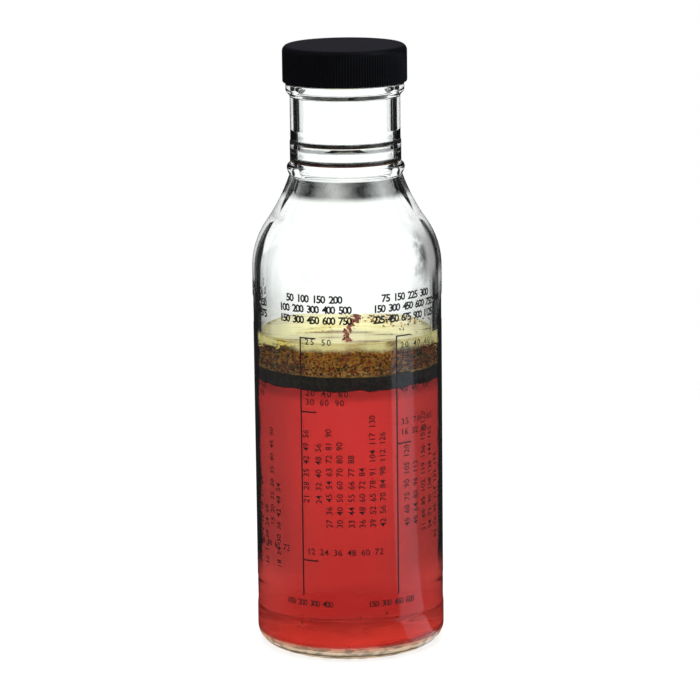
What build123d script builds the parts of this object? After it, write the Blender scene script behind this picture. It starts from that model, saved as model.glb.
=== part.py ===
from build123d import *
import math
import os

# Salad dressing shaker bottle, in millimetres, standing on z = 0 with +Z up and its front at -Y.
# A ring-neck glass bottle is closed by a ribbed screw cap with a sealing liner. It carries four
# printed measuring scales on its front half and holds layered vinegar, herbs, spice and oil.
# Outlines are drawn as (radius, height) and turned about Z. Places round the bottle are angles
# from the front, positive towards +X.

# Bottle body, from the bearing ring upward
label_radius = 31.2
bumper_stand = 0.22
bumper_ramp = 0.8
heel_radius = 6.0
lower_bumper_height = 8.0
label_height = 104.0
upper_bumper_height = 9.6

# Glass wall, floor and the hollow under the floor
glass_wall = 2.8
floor_thickness = 3.8
inner_heel_radius = 3.0
bearing_width = 2.4
push_up_height = 1.4

# Shoulder: a crown arc turns in from the body, a sweep arc turns up into the neck ring
crown_radius = 27.2
sweep_radius = 61.0
sweep_end_slope = 18.75
inner_sweep_radius = 28.0

# Neck, from the bore outward and from the ring upward. Two shallow grooves run round the bore
bore_radius = 15.0
groove_depth = 1.0
groove_ledge_height = 1.3
groove_slope_height = 3.4
lower_groove_rise = 4.7
upper_groove_rise = 10.7
finish_wall = 2.5
neck_step = 0.65
collar_stand = 0.2
ring_lip = 0.3
ring_stand = 0.8
ring_undercut = 0.85
ring_height = 3.7
ring_crest_share = 0.64
collar_height = 7.9
neck_height = 14.5
step_ramp = 0.5
bead_stand = 1.35
bead_ramp = 1.5
bead_height = 2.6
bead_round = 0.5
finish_height = 9.4
rim_round_share = 0.36

# Thread, as a trapezoid that winds up the finish with a run-out at each end
thread_pitch = 25.4 / 6
thread_height = 1.1
thread_root_width = 2.2
thread_flank_slope = 0.5
thread_top_drop = 2.2
thread_bottom_rise = 2.5
thread_run_out = 30.0
thread_step = 10.0
thread_sink = 0.4

# Screw cap and its liner
thread_clearance = 0.3
flank_clearance = 0.25
cap_thread_crest_width = 0.7
cap_thread_bottom_rise = 1.5
cap_thread_top_drop = 3.2
cap_wall = 1.6
cap_top_wall = 1.9
cap_bead_gap = 0.25
cap_top_round = 2.2
cap_edge_round = 0.6
cap_corner_round = 0.3
rib_count = 138
rib_depth = 0.35
liner_thickness = 1.3
liner_gap = 0.4

# Contents, from the floor upward. The spice lies as a bed that banks up against the glass
vinegar_level = 91.4
herb_depth = 5.0
spice_bed_depth = 1.3
spice_bank_width = 5.0
spice_bank_top_width = 0.8
spice_depth = 2.6
oil_depth = 8.0

# Printed scales: fired enamel, raised on the label panel
print_thickness = 0.1
scale_bottom_rise = 8.5
scale_top_drop = 8.6
scale_line_width = 0.45
tick_length = 5.7
first_scale_angle = -90.0
scale_spacing = 60.0
tick_height_shares = (
    (1.0, 0.8, 0.45),
    (1.0, 0.716, 0.137),
    (1.0, 0.856, 0.585),
    (1.0, 0.9, 0.3),
)

# How far a cutting tool runs past what it cuts
overrun = 5.0

# Radii that follow from the sizes above
bumper_radius = label_radius + bumper_stand
inner_radius = label_radius - glass_wall
finish_radius = bore_radius + finish_wall
thread_crest_radius = finish_radius + thread_height
neck_radius = finish_radius + neck_step
bead_radius = neck_radius + bead_stand
collar_radius = neck_radius + collar_stand
ring_top_radius = collar_radius + ring_lip
ring_radius = ring_top_radius + ring_stand
neck_root_radius = ring_radius - ring_undercut
cap_inner_radius = thread_crest_radius + thread_clearance
cap_radius = cap_inner_radius + cap_wall
liner_radius = cap_inner_radius - liner_gap


def polar(centre, radius, angle):
    """The point at a radius and an angle in degrees from a centre, in the outline's plane."""
    turn = math.radians(angle)
    return (centre[0] + radius * math.cos(turn), centre[1] + radius * math.sin(turn))


def arc(centre, radius, start, end):
    """The arc about a centre from one angle to another. A negative radius starts opposite."""
    middle = (start + end) / 2
    return ThreePointArc(
        polar(centre, radius, start), polar(centre, radius, middle), polar(centre, radius, end)
    )


def path(*points):
    """Straight edges from each point to the next."""
    return [Line(a, b) for a, b in zip(points, points[1:])]


def end_of(edge):
    """Where an edge ends, as (radius, height)."""
    point = edge @ 1
    return (point.X, point.Y)


def turned(edges):
    """The solid of revolution about Z inside a closed outline."""
    return revolve(Plane.XZ * make_face(edges), Axis.Z)


def shoulder(start, end_radius, crown, sweep, end_slope):
    """A crown arc and a sweep arc, tangent to each other, from an upright wall to a neck.

    The radius drops by crown * (1 - cos(turn)) + sweep * (cos(end_slope) - cos(turn)), which gives
    the angle that the crown turns through before the sweep turns back.
    """
    drop = start[0] - end_radius
    straight = crown + sweep * math.cos(math.radians(end_slope)) - drop
    turn = math.degrees(math.acos(straight / (crown + sweep)))
    crown_centre = (start[0] - crown, start[1])
    sweep_centre = polar(crown_centre, crown + sweep, turn)
    return [arc(crown_centre, crown, 0, turn), arc(sweep_centre, -sweep, turn, end_slope)]


# Heights that follow from the sizes above
lower_bumper_top = heel_radius + lower_bumper_height
label_top = lower_bumper_top + label_height
shoulder_z = label_top + upper_bumper_height
outer_shoulder = shoulder(
    (bumper_radius, shoulder_z), neck_root_radius, crown_radius, sweep_radius, sweep_end_slope
)
inner_shoulder = shoulder(
    (inner_radius, shoulder_z), bore_radius, crown_radius - glass_wall, inner_sweep_radius, 0
)
neck_root_z = end_of(outer_shoulder[-1])[1]
ring_top = neck_root_z + ring_height
collar_top = ring_top + collar_height
neck_top = collar_top + neck_height
bead_top = neck_top + bead_ramp + bead_height
rim_z = bead_top + finish_height
cap_bottom = bead_top + cap_bead_gap
cap_ceiling = rim_z + liner_thickness
cap_top = cap_ceiling + cap_top_wall
rim_round = rim_round_share * finish_wall


def base_outline():
    """The hollow under the floor, the bearing ring and the rounded heel."""
    bearing_outer = bumper_radius - heel_radius
    bearing_inner = bearing_outer - bearing_width
    dome_radius = (bearing_inner**2 + push_up_height**2) / (2 * push_up_height)
    dome_edge = math.degrees(math.asin(bearing_inner / dome_radius))
    dome = arc((0, push_up_height - dome_radius), dome_radius, 90, 90 - dome_edge)
    bearing = path(end_of(dome), (bearing_outer, 0))
    heel = arc((bearing_outer, heel_radius), heel_radius, -90, 0)
    return [dome, *bearing, heel]


def body_outline():
    """The lower bumper band, the label panel between two ramps, and the upper bumper band."""
    return path(
        (bumper_radius, heel_radius),
        (bumper_radius, lower_bumper_top - bumper_ramp),
        (label_radius, lower_bumper_top),
        (label_radius, label_top),
        (bumper_radius, label_top + bumper_ramp),
        (bumper_radius, shoulder_z),
    )


def neck_outline():
    """The neck ring, its lip, the collar, the plain neck, the bead under the cap, the finish."""
    ring = ThreePointArc(
        end_of(outer_shoulder[-1]),
        (ring_radius, neck_root_z + ring_crest_share * ring_height),
        (ring_top_radius, ring_top),
    )
    plain = path(
        (ring_top_radius, ring_top),
        (collar_radius, ring_top + step_ramp),
        (collar_radius, collar_top - step_ramp),
        (neck_radius, collar_top),
        (neck_radius, neck_top),
        (bead_radius, neck_top + bead_ramp),
        (bead_radius, bead_top - bead_round),
    )
    bead_edge = arc((bead_radius - bead_round, bead_top - bead_round), bead_round, 0, 90)
    finish = path(
        (bead_radius - bead_round, bead_top),
        (finish_radius, bead_top),
        (finish_radius, rim_z - rim_round),
    )
    rim_edge = arc((finish_radius - rim_round, rim_z - rim_round), rim_round, 0, 90)
    return [ring, *plain, bead_edge, *finish, rim_edge]


def groove(middle):
    """The corners of a groove round the bore: a steep ledge and a long slope back above it."""
    ledge_top = middle + groove_ledge_height / 2
    return (
        (bore_radius, middle - groove_ledge_height / 2),
        (bore_radius + groove_depth, ledge_top),
        (bore_radius, ledge_top + groove_slope_height),
    )


def inner_outline():
    """The inside of the glass, from the axis on the floor up to the inner edge of the rim."""
    heel_centre = (inner_radius - inner_heel_radius, floor_thickness + inner_heel_radius)
    floor = path((0, floor_thickness), (heel_centre[0], floor_thickness))
    heel = arc(heel_centre, inner_heel_radius, -90, 0)
    wall = path((inner_radius, heel_centre[1]), (inner_radius, shoulder_z))
    bore = path(
        end_of(inner_shoulder[-1]),
        *groove(neck_root_z + lower_groove_rise),
        *groove(neck_root_z + upper_groove_rise),
        (bore_radius, rim_z - rim_round),
    )
    rim_edge = arc((bore_radius + rim_round, rim_z - rim_round), rim_round, 180, 90)
    return [*floor, heel, *wall, *inner_shoulder, *bore, rim_edge]


def thread(wall_radius, outward, height, wall_width, bottom, top, start_angle):
    """A right-hand thread ridge on a round wall, in short ruled spans from bottom to top.

    outward is 1 on the outside of a neck and -1 on the inside of a cap. The ridge narrows away
    from its wall by the flank slope on each side, and fades out over the run-out at both ends.
    """
    length = (top - bottom) / thread_pitch * 360
    steps = math.ceil(length / thread_step)
    sections = []
    for step in range(steps + 1):
        along = length * step / steps
        fade = min(1, along / thread_run_out, (length - along) / thread_run_out)
        height_here = height * fade - thread_sink * (1 - fade) / 2
        z = bottom + (top - bottom) * step / steps
        foot = wall_width / 2 + thread_sink * thread_flank_slope
        tip = wall_width / 2 - height_here * thread_flank_slope
        foot_radius = wall_radius - outward * thread_sink
        tip_radius = wall_radius + outward * height_here
        corners = (
            (foot_radius, z - foot),
            (tip_radius, z - tip),
            (tip_radius, z + tip),
            (foot_radius, z + foot),
        )
        face = Plane.XZ * make_face(path(*corners, corners[0]))
        sections.append(Rot(0, 0, start_angle + along) * face)
    return loft(sections, ruled=True)


def bottle_thread():
    """The ridge round the finish, which the cap's own ridge runs under."""
    return thread(
        finish_radius,
        1,
        thread_height,
        thread_root_width,
        bead_top + thread_bottom_rise,
        rim_z - thread_top_drop,
        0,
    )


def cap_thread():
    """The ridge inside the cap, just under the bottle's ridge when the cap is tight.

    Both ridges have the same flank slope, so their half widths at one radius add up to the same
    sum at every radius. The start angle puts the cap's ridge that sum and a clearance lower.
    """
    height = cap_inner_radius - (finish_radius + thread_clearance)
    wall_width = cap_thread_crest_width + 2 * height * thread_flank_slope
    shared = thread_root_width / 2 + cap_thread_crest_width / 2
    offset = shared - thread_clearance * thread_flank_slope + flank_clearance
    bottom = cap_bottom + cap_thread_bottom_rise
    top = rim_z - cap_thread_top_drop
    start_angle = (bottom + offset - (bead_top + thread_bottom_rise)) / thread_pitch * 360
    return thread(cap_inner_radius, -1, height, wall_width, bottom, top, start_angle)


def glass_bottle():
    """The bottle's glass: one turned section from floor to rim, with the thread ridge."""
    rim = path((finish_radius - rim_round, rim_z), (bore_radius + rim_round, rim_z))
    axis = path((0, floor_thickness), (0, push_up_height))
    outline = base_outline() + body_outline() + outer_shoulder + neck_outline() + rim
    return turned(outline + inner_outline() + axis) + bottle_thread()


def cap_ribs():
    """A prism with one point per rib, as tall as the cap and more."""
    points = []
    for rib in range(rib_count):
        points.append(polar((0, 0), cap_radius, 360 * rib / rib_count))
        points.append(polar((0, 0), cap_radius - rib_depth, 360 * (rib + 1 / 2) / rib_count))
    outline = make_face(path(*points, points[0]))
    prism = extrude(outline, cap_top - cap_bottom + 2 * overrun)
    return Pos(0, 0, cap_bottom - overrun) * prism


def screw_cap():
    """The cap's ribbed shell, open below, with its inner thread ridge."""
    top_round = arc((cap_radius - cap_top_round, cap_top - cap_top_round), cap_top_round, 0, 90)
    edge_centre = (cap_radius - cap_edge_round, cap_bottom + cap_edge_round)
    edge_round = arc(edge_centre, cap_edge_round, -90, 0)
    corner_centre = (cap_inner_radius - cap_corner_round, cap_ceiling - cap_corner_round)
    corner_round = arc(corner_centre, cap_corner_round, 90, 0)
    outline = [
        *path((cap_inner_radius, cap_bottom), (edge_centre[0], cap_bottom)),
        edge_round,
        *path((cap_radius, edge_centre[1]), (cap_radius, cap_top - cap_top_round)),
        top_round,
        *path(end_of(top_round), (0, cap_top), (0, cap_ceiling), (corner_centre[0], cap_ceiling)),
        corner_round,
        *path((cap_inner_radius, corner_centre[1]), (cap_inner_radius, cap_bottom)),
    ]
    return (turned(outline) & cap_ribs()) + cap_thread()


def cap_liner():
    """The sealing disc, pressed between the glass rim and the cap's ceiling."""
    disc = Cylinder(liner_radius, liner_thickness, align=(Align.CENTER, Align.CENTER, Align.MIN))
    return Pos(0, 0, rim_z) * disc


def cavity():
    """All the space inside the glass up to the start of the rim's rounding."""
    inner = inner_outline()[:-1]
    return turned(inner + path(end_of(inner[-1]), (0, rim_z - rim_round), (0, floor_thickness)))


def filling(bottom, depth):
    """One layer of the contents: the cavity between two levels."""
    slab = Cylinder(label_radius, depth, align=(Align.CENTER, Align.CENTER, Align.MIN))
    return cavity() & Pos(0, 0, bottom) * slab


def spice_dish():
    """The space over the spice bed, up to the top of its bank against the glass."""
    bed = herb_level + spice_bed_depth
    return turned(
        path(
            (0, bed),
            (inner_radius - spice_bank_width, bed),
            (inner_radius - spice_bank_top_width, spice_level),
            (0, spice_level),
            (0, bed),
        )
    )


def enamel(start_angle, width, bottom, height):
    """A patch of enamel on the label panel, from an angle to the right, as wide as given."""
    outline = path(
        (label_radius, bottom),
        (label_radius + print_thickness, bottom),
        (label_radius + print_thickness, bottom + height),
        (label_radius, bottom + height),
        (label_radius, bottom),
    )
    patch = revolve(Plane.XZ * make_face(outline), Axis.Z, math.degrees(width / label_radius))
    return Rot(0, 0, start_angle - 90) * patch


def printed_scale(angle, height_shares):
    """One upright line with a tick to its right at each share of its height."""
    bottom = lower_bumper_top + scale_bottom_rise
    height = label_top - scale_top_drop - bottom
    scale = enamel(angle, scale_line_width, bottom, height)
    for share in height_shares:
        tick_bottom = bottom + share * (height - scale_line_width)
        scale += enamel(angle, tick_length, tick_bottom, scale_line_width)
    return scale


def printed_scales():
    """The scales, evenly spaced round the front half of the label panel."""
    return [
        printed_scale(first_scale_angle + scale_spacing * index, height_shares)
        for index, height_shares in enumerate(tick_height_shares)
    ]


def grouped(solids):
    """Separate solids in one node."""
    return Compound([solid for shape in solids for solid in shape.solids()])


herb_level = vinegar_level + herb_depth
spice_level = herb_level + spice_depth
nodes = {
    "glass_bottle": glass_bottle(),
    "screw_cap": screw_cap(),
    "cap_liner": cap_liner(),
    "red_vinegar": filling(0, vinegar_level),
    "herb_layer": filling(vinegar_level, herb_depth),
    "spice_layer": filling(herb_level, spice_depth) - spice_dish(),
    "salad_oil": filling(spice_level, oil_depth) + spice_dish(),
    "printed_scales": grouped(printed_scales()),
}

os.makedirs("parts", exist_ok=True)
for name, shape in nodes.items():
    export_step(shape, f"parts/{name}.step")
    print(f"{name}: {len(shape.solids())} solid(s), {shape.volume / 1000:.2f} cm3")
print(f"neck ring from z = {neck_root_z:.1f}, rim at z = {rim_z:.1f}, cap top at z = {cap_top:.1f} mm")
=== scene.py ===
# %% [markdown]
# # A dressing bottle around its CAD frame
# This lesson dresses a CAD model of a glass bottle with a screw cap, layered dressing inside and a
# printed measuring scale. The CAD model is loaded first and never moved. Every piece made here is
# built in the same place and rides on one of its bodies, so that the cap can still be unscrewed.

# %% Load the frame
import math

import bmesh
import bpy
import numpy as np
from mathutils import Euler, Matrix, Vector


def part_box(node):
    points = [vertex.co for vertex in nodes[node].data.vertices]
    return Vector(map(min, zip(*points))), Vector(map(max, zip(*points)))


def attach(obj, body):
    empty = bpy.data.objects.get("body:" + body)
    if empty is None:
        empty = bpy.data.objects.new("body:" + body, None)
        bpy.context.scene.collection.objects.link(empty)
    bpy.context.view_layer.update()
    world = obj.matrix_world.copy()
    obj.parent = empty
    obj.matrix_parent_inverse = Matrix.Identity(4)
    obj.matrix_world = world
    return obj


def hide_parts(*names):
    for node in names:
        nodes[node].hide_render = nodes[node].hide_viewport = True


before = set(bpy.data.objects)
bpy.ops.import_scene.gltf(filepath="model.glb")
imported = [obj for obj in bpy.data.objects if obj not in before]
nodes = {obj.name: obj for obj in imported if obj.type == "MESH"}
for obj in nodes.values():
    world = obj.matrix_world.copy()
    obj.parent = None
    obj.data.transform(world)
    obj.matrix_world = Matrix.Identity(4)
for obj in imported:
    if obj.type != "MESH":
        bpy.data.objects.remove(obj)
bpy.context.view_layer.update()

# %% [markdown]
# ## The camera
# The photograph looks slightly down on the bottle with a long lens. Place, tilt and lens were worked
# out from the outline of the bottle: with a long lens the upright sides stay almost parallel. The
# small roll is the photographer's own, and it makes the bottle lean a little to the left.

# %% Place the camera
MM = 0.001
camera_place = (0.70, -1075.15, 323.04)
camera_tilt = 11.7614
camera_roll = 0.6587
sensor_width = 36.0
lens = 169.496

camera = bpy.data.objects.new("camera", bpy.data.cameras.new("camera"))
bpy.context.collection.objects.link(camera)
camera.data.sensor_width = sensor_width
camera.data.lens = lens
camera.data.clip_end = 20
camera.location = Vector(camera_place) * MM
turn = Euler((0, 0, math.radians(-camera_roll))).to_matrix()
turn.rotate(Euler((math.radians(90 - camera_tilt), 0, 0)))
camera.rotation_euler = turn.to_euler()
bpy.context.scene.camera = camera
print("camera at", [round(place, 3) for place in camera.location])

# %% [markdown]
# ## Sizes from the frame
# Whatever the frame already says is read from it, in millimetres: the radius of the body, the level
# of each layer, the height of the rim. Only what no box can say, such as the curve of a shoulder, is
# written out again as a named size.

# %% Read the sizes
def box(node):
    """A node's lowest and highest corner in millimetres."""
    low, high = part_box(node)
    return low / MM, high / MM


bumper_radius = box("glass_bottle")[1].x
rim_z = box("glass_bottle")[1].z
inner_radius = box("red_vinegar")[1].x
floor_z = box("red_vinegar")[0].z
vinegar_level = box("red_vinegar")[1].z
herb_level = box("herb_layer")[1].z
oil_level = box("salad_oil")[1].z
print_radius = box("printed_scales")[1].x
cap_bottom = box("screw_cap")[0].z
cap_top = box("screw_cap")[1].z
cap_radius = box("screw_cap")[1].x
print(f"body {bumper_radius:.2f}, bore {inner_radius:.2f} mm in radius")
print(f"rim at {rim_z:.2f}, oil at {oil_level:.2f} mm")

# %% [markdown]
# ## Turned shapes
# Glass, liquids and cap are all round. Each is drawn as half a section, a line of (radius, height)
# points that starts and ends on the axis, and turned about Z into one closed skin. Glass bends light
# by the slope of its skin, so every round is drawn finely and long straight runs are divided too.

# %% Lines of a section
def arc(centre, radius, start, end, steps=24):
    """Points on an arc about a centre, from one angle to another, in degrees."""
    turns = np.radians(np.linspace(start, end, steps + 1))
    return [(centre[0] + radius * math.cos(t), centre[1] + radius * math.sin(t)) for t in turns]


def bow(start, middle, end, steps=12):
    """A parabola through three points."""
    start, middle, end = np.array(start), np.array(middle), np.array(end)
    shares = np.linspace(0, 1, steps + 1)
    return [
        tuple(start * (1 - t) * (1 - 2 * t) + middle * 4 * t * (1 - t) + end * t * (2 * t - 1))
        for t in shares
    ]


def eased(*corners, steps=6):
    """Straight runs whose corners, each (radius, height, ease), are rounded over that length."""
    points = [corners[0][:2]]
    for before, here, after in zip(corners, corners[1:], corners[2:]):
        corner = np.array(here[:2])
        back, on = np.array(before[:2]) - corner, np.array(after[:2]) - corner
        start = corner + back * min(0.5, here[2] / np.linalg.norm(back))
        end = corner + on * min(0.5, here[2] / np.linalg.norm(on))
        for t in np.linspace(0, 1, steps + 1):
            points.append(tuple(start * (1 - t) ** 2 + corner * 2 * t * (1 - t) + end * t * t))
    return points + [corners[-1][:2]]


def spaced(points, gap):
    """The same line with its points no further apart than a gap, and none doubled."""
    line = [points[0]]
    for point in points[1:]:
        here, run = np.array(line[-1]), math.dist(line[-1], point)
        count = math.ceil(run / gap)
        if run > 1e-6:
            line += [tuple(here + (np.array(point) - here) * i / count) for i in range(1, count + 1)]
    return line


# %% Turn a section
SEGMENTS = 288


def mesh_object(name, points, faces, smooth=True):
    """A mesh from points in millimetres."""
    mesh = bpy.data.meshes.new(name)
    mesh.from_pydata((np.array(points) * MM).tolist(), [], faces)
    if smooth:
        mesh.shade_smooth()
    mesh.update()
    made = bpy.data.objects.new(name, mesh)
    bpy.context.collection.objects.link(made)
    print(f"{name}: {len(mesh.vertices)} points, {len(mesh.polygons)} faces")
    return made


def turned(name, outline, reshape=None, segments=SEGMENTS):
    """A closed skin turned about Z. reshape(angle, radius, height) may shift its points."""
    line = np.array(outline)
    turns = np.linspace(0, 2 * np.pi, segments, endpoint=False)
    angle, radius = np.meshgrid(turns, line[1:-1, 0])
    height = np.meshgrid(turns, line[1:-1, 1])[1]
    if reshape:
        radius, height = reshape(angle, radius, height)
    rings = np.stack([radius * np.sin(angle), -radius * np.cos(angle), height], -1).reshape(-1, 3)
    first, last = len(rings), len(rings) + 1
    points = np.vstack([rings, [(0, 0, line[0, 1]), (0, 0, line[-1, 1])]])
    here = np.arange(segments)
    on = (here + 1) % segments
    faces = []
    for row in range(len(line) - 3):
        low, high = row * segments, (row + 1) * segments
        faces += np.stack([low + here, low + on, high + on, high + here], -1).tolist()
    top = (len(line) - 3) * segments
    faces += [(first, int(b), int(a)) for a, b in zip(here, on)]
    faces += [(top + int(a), top + int(b), last) for a, b in zip(here, on)]
    return mesh_object(name, points, faces)


# %% [markdown]
# ## The glass
# The bottle is blown glass: the outside is the mould's, smooth and true, and the inside strays a
# little, because nothing but air shaped it. Slow waves of a tenth of a millimetre are enough to make
# lines seen through the glass wander as they do in the photograph. The thread under the cap is a
# ridge that climbs by its pitch each turn, so it is worked out as a bulge of the same skin.

# %% Section of the glass
print_stand = 0.1
label_radius = print_radius - print_stand
heel_radius = 6.0
lower_bumper_height = 8.0
bumper_ramp = 0.8
label_height = 104.0
upper_bumper_height = 9.6
inner_heel_radius = 3.0
bearing_width = 2.4
push_up_height = 1.4
crown_radius = 27.2
sweep_radius = 61.0
sweep_end_slope = 18.75
inner_sweep_radius = 28.0
bore_radius = 15.0
groove_depth = 1.0
groove_ledge_height = 1.3
groove_slope_height = 3.4
groove_ease = 0.15
lower_groove_rise = 4.7
upper_groove_rise = 10.7
finish_radius = 17.5
neck_radius = 18.15
bead_radius = 19.5
collar_radius = 18.35
ring_top_radius = 18.65
ring_radius = 19.45
neck_root_radius = 18.6
ring_height = 3.7
ring_crest_share = 0.64
collar_height = 7.9
neck_height = 14.5
step_ramp = 0.5
bead_ramp = 1.5
bead_height = 2.6
rim_round = 0.9
wall_ease = 1.5
step_ease = 0.3
bead_ease = 0.6
bead_top_ease = 0.5
finish_ease = 0.4
ring_edge = 0.1
finish_foot_rise = 1.0
bumper_stand = bumper_radius - label_radius
glass_wall = label_radius - inner_radius
bumper_trim = 0.03

lower_bumper_top = heel_radius + lower_bumper_height
label_top = lower_bumper_top + label_height
shoulder_z = label_top + upper_bumper_height


def shoulder(start, end_radius, crown, sweep, end_slope):
    """A crown arc that turns in from an upright wall, and a sweep arc that turns up to the neck."""
    straight = crown + sweep * math.cos(math.radians(end_slope)) - (start[0] - end_radius)
    turn = math.acos(straight / (crown + sweep))
    crown_centre = (start[0] - crown, start[1])
    reach = crown + sweep
    sweep_centre = (
        crown_centre[0] + reach * math.cos(turn),
        crown_centre[1] + reach * math.sin(turn),
    )
    turn = math.degrees(turn)
    return arc(crown_centre, crown, 0, turn) + arc(sweep_centre, -sweep, turn, end_slope)[1:]


outer_shoulder = shoulder(
    (bumper_radius, shoulder_z), neck_root_radius, crown_radius, sweep_radius, sweep_end_slope
)
inner_shoulder = shoulder(
    (inner_radius, shoulder_z), bore_radius, crown_radius - glass_wall, inner_sweep_radius, 0
)
neck_root_z = outer_shoulder[-1][1]
ring_top = neck_root_z + ring_height
collar_top = ring_top + collar_height
neck_top = collar_top + neck_height
bead_top = neck_top + bead_ramp + bead_height
finish_foot = bead_top + finish_foot_rise

# %% Outside and inside of the glass
bearing_outer = bumper_radius - heel_radius
bearing_inner = bearing_outer - bearing_width
dome_radius = (bearing_inner**2 + push_up_height**2) / (2 * push_up_height)
dome_edge = math.degrees(math.asin(bearing_inner / dome_radius))
outside = (
    arc((0, push_up_height - dome_radius), dome_radius, 90, 90 - dome_edge)
    + arc((bearing_outer, heel_radius), heel_radius, -90, 0)
    + eased(
        (bumper_radius, heel_radius, 0),
        (bumper_radius, lower_bumper_top - bumper_ramp, wall_ease),
        (label_radius, lower_bumper_top, wall_ease),
        (label_radius, label_top, wall_ease),
        (bumper_radius, label_top + bumper_ramp, wall_ease),
        (bumper_radius, shoulder_z, 0),
    )
    + outer_shoulder
    + bow(
        outer_shoulder[-1],
        (ring_radius, neck_root_z + ring_crest_share * ring_height),
        (ring_top_radius, ring_top),
    )
    + eased(
        (ring_top_radius, ring_top, 0),
        (ring_top_radius, ring_top + ring_edge, step_ease),
        (collar_radius, ring_top + step_ramp, step_ease),
        (collar_radius, collar_top - step_ramp, step_ease),
        (neck_radius, collar_top, step_ease),
        (neck_radius, neck_top, bead_ease),
        (bead_radius, neck_top + bead_ramp, bead_ease),
        (bead_radius, bead_top, bead_top_ease),
        (finish_radius, bead_top, finish_ease),
        (finish_radius, finish_foot, 0),
    )
)
finish_wall = [(finish_radius, finish_foot), (finish_radius, rim_z - rim_round)]
rim = arc((finish_radius - rim_round, rim_z - rim_round), rim_round, 0, 90, 8)
rim += arc((bore_radius + rim_round, rim_z - rim_round), rim_round, 90, 180, 8)
heel_centre = (inner_radius - inner_heel_radius, floor_z + inner_heel_radius)


def groove(rise):
    """The corners of a groove round the bore, from the start of its slope down to its ledge."""
    middle = neck_root_z + rise
    ledge_top = middle + groove_ledge_height / 2
    return (
        (bore_radius, ledge_top + groove_slope_height, groove_ease),
        (bore_radius + groove_depth, ledge_top, groove_ease),
        (bore_radius, middle - groove_ledge_height / 2, groove_ease),
    )


inside = (
    eased(
        (bore_radius, rim_z - rim_round, 0),
        *groove(upper_groove_rise),
        *groove(lower_groove_rise),
        (*inner_shoulder[-1], 0),
    )
    + inner_shoulder[::-1]
    + [(inner_radius, shoulder_z), (inner_radius, heel_centre[1])]
    + arc(heel_centre, inner_heel_radius, 0, -90)
    + [(0, floor_z)]
)

# %% How the inside strays
inner_waves = (
    (1, 0.020, 0.4, 0.16),
    (2, 0.045, 2.1, 0.09),
    (3, 0.080, 4.0, 0.05),
    (5, 0.110, 1.2, 0.025),
)
floor_tilt = 0.020


def strayed(angle, radius, height):
    """The inside of the glass, moved by slow waves, and its floor tilted."""
    drift = sum(size * np.sin(turns * angle + rise * height + shift)
                for turns, rise, shift, size in inner_waves)
    share = np.clip(radius / inner_radius, 0, 1) ** 2
    near_floor = np.clip(1 - (height - floor_z) / (3 * inner_heel_radius), 0, 1)
    tilt = floor_tilt * radius * np.sin(angle) * near_floor
    return radius + drift * share, height + tilt


# %% Thread ridge
thread_pitch = 25.4 / 6
thread_height = 1.1
thread_root_width = 2.2
thread_flank_slope = 0.5
thread_run_out = 30.0
thread_bottom_rise = 2.5
thread_top_drop = 2.2
thread_start = 90.0


def ridge(angle, height, bottom, top, height_of_ridge, width, start):
    """How far a thread ridge stands out from its wall at an angle and a height."""
    climb = (height - bottom) / thread_pitch * 360
    around = np.degrees(angle) - start
    turns = np.round((climb - around) / 360)
    along = around + 360 * turns
    off = np.abs(climb - along) / 360 * thread_pitch
    length = (top - bottom) / thread_pitch * 360
    fade = np.clip(np.minimum(along, length - along) / thread_run_out, 0, 1)
    return np.clip((width / 2 - off) / thread_flank_slope, 0, height_of_ridge * fade)


# %% Make the glass
row_gap = 1.2
thread_row_gap = 0.15
outer_rows = spaced(outside, row_gap) + spaced(finish_wall, thread_row_gap)[1:] + rim[1:]
glass_rows = outer_rows + spaced(rim[-1:] + inside, row_gap)[1:]


def glass_shape(angle, radius, height):
    """The turned glass with its thread ridge outside and its waves inside."""
    row = np.arange(len(radius))[:, None] + 0 * angle
    inner = row >= len(outer_rows)
    on_finish = ~inner & (height > finish_foot) & (radius > finish_radius - rim_round)
    strayed_radius, strayed_height = strayed(angle, radius, height)
    thread = ridge(
        angle, height, bead_top + thread_bottom_rise, rim_z - thread_top_drop, thread_height,
        thread_root_width, thread_start,
    )
    trim = bumper_trim * np.clip((radius - label_radius) / bumper_stand, 0, 1)
    radius = np.where(on_finish, radius + thread, radius - trim)
    return np.where(inner, strayed_radius, radius), np.where(inner, strayed_height, height)


glass = turned("glass", glass_rows, glass_shape)
inner_faces_from = (len(outer_rows) - 2) * SEGMENTS
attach(glass, "bottle")
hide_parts("glass_bottle")

# %% [markdown]
# ## The dressing
# Red vinegar lies at the bottom and yellow oil on top. A mesh that just touched the glass would
# leave a film of air, which shines like a mirror, so each liquid reaches a little into the glass.
# The oil creeps up the glass at its edge, as liquids do.

# %% Vinegar
overlap = 0.06
hidden_lap = 1.0


def wall_run(bottom, top):
    """The outside of a layer, a little inside the glass, from one level to another."""
    return [(inner_radius + overlap, bottom), (inner_radius + overlap, top)]


vinegar_rows = spaced(
    [(0, floor_z - overlap), (heel_centre[0], floor_z - overlap)]
    + arc(heel_centre, inner_heel_radius + overlap, -90, 0)
    + wall_run(heel_centre[1], vinegar_level + hidden_lap)
    + [(0, vinegar_level + hidden_lap)],
    row_gap,
)
vinegar = turned("vinegar", vinegar_rows, strayed)

# %% Oil
meniscus_height = 0.5
meniscus_reach = 1.2
surface = [
    (radius, oil_level + meniscus_height * math.exp((radius - inner_radius) / meniscus_reach))
    for radius in np.linspace(inner_radius + overlap, 0, 60)
]
oil_rows = spaced(
    [(0, herb_level - hidden_lap)]
    + wall_run(herb_level - hidden_lap, surface[0][1])
    + surface,
    row_gap,
)
oil = turned("oil", oil_rows, strayed)
for piece, node, slot in ((vinegar, "red_vinegar", "vinegar"), (oil, "salad_oil", "oil")):
    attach(piece, "bottle")
    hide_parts(node)

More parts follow.
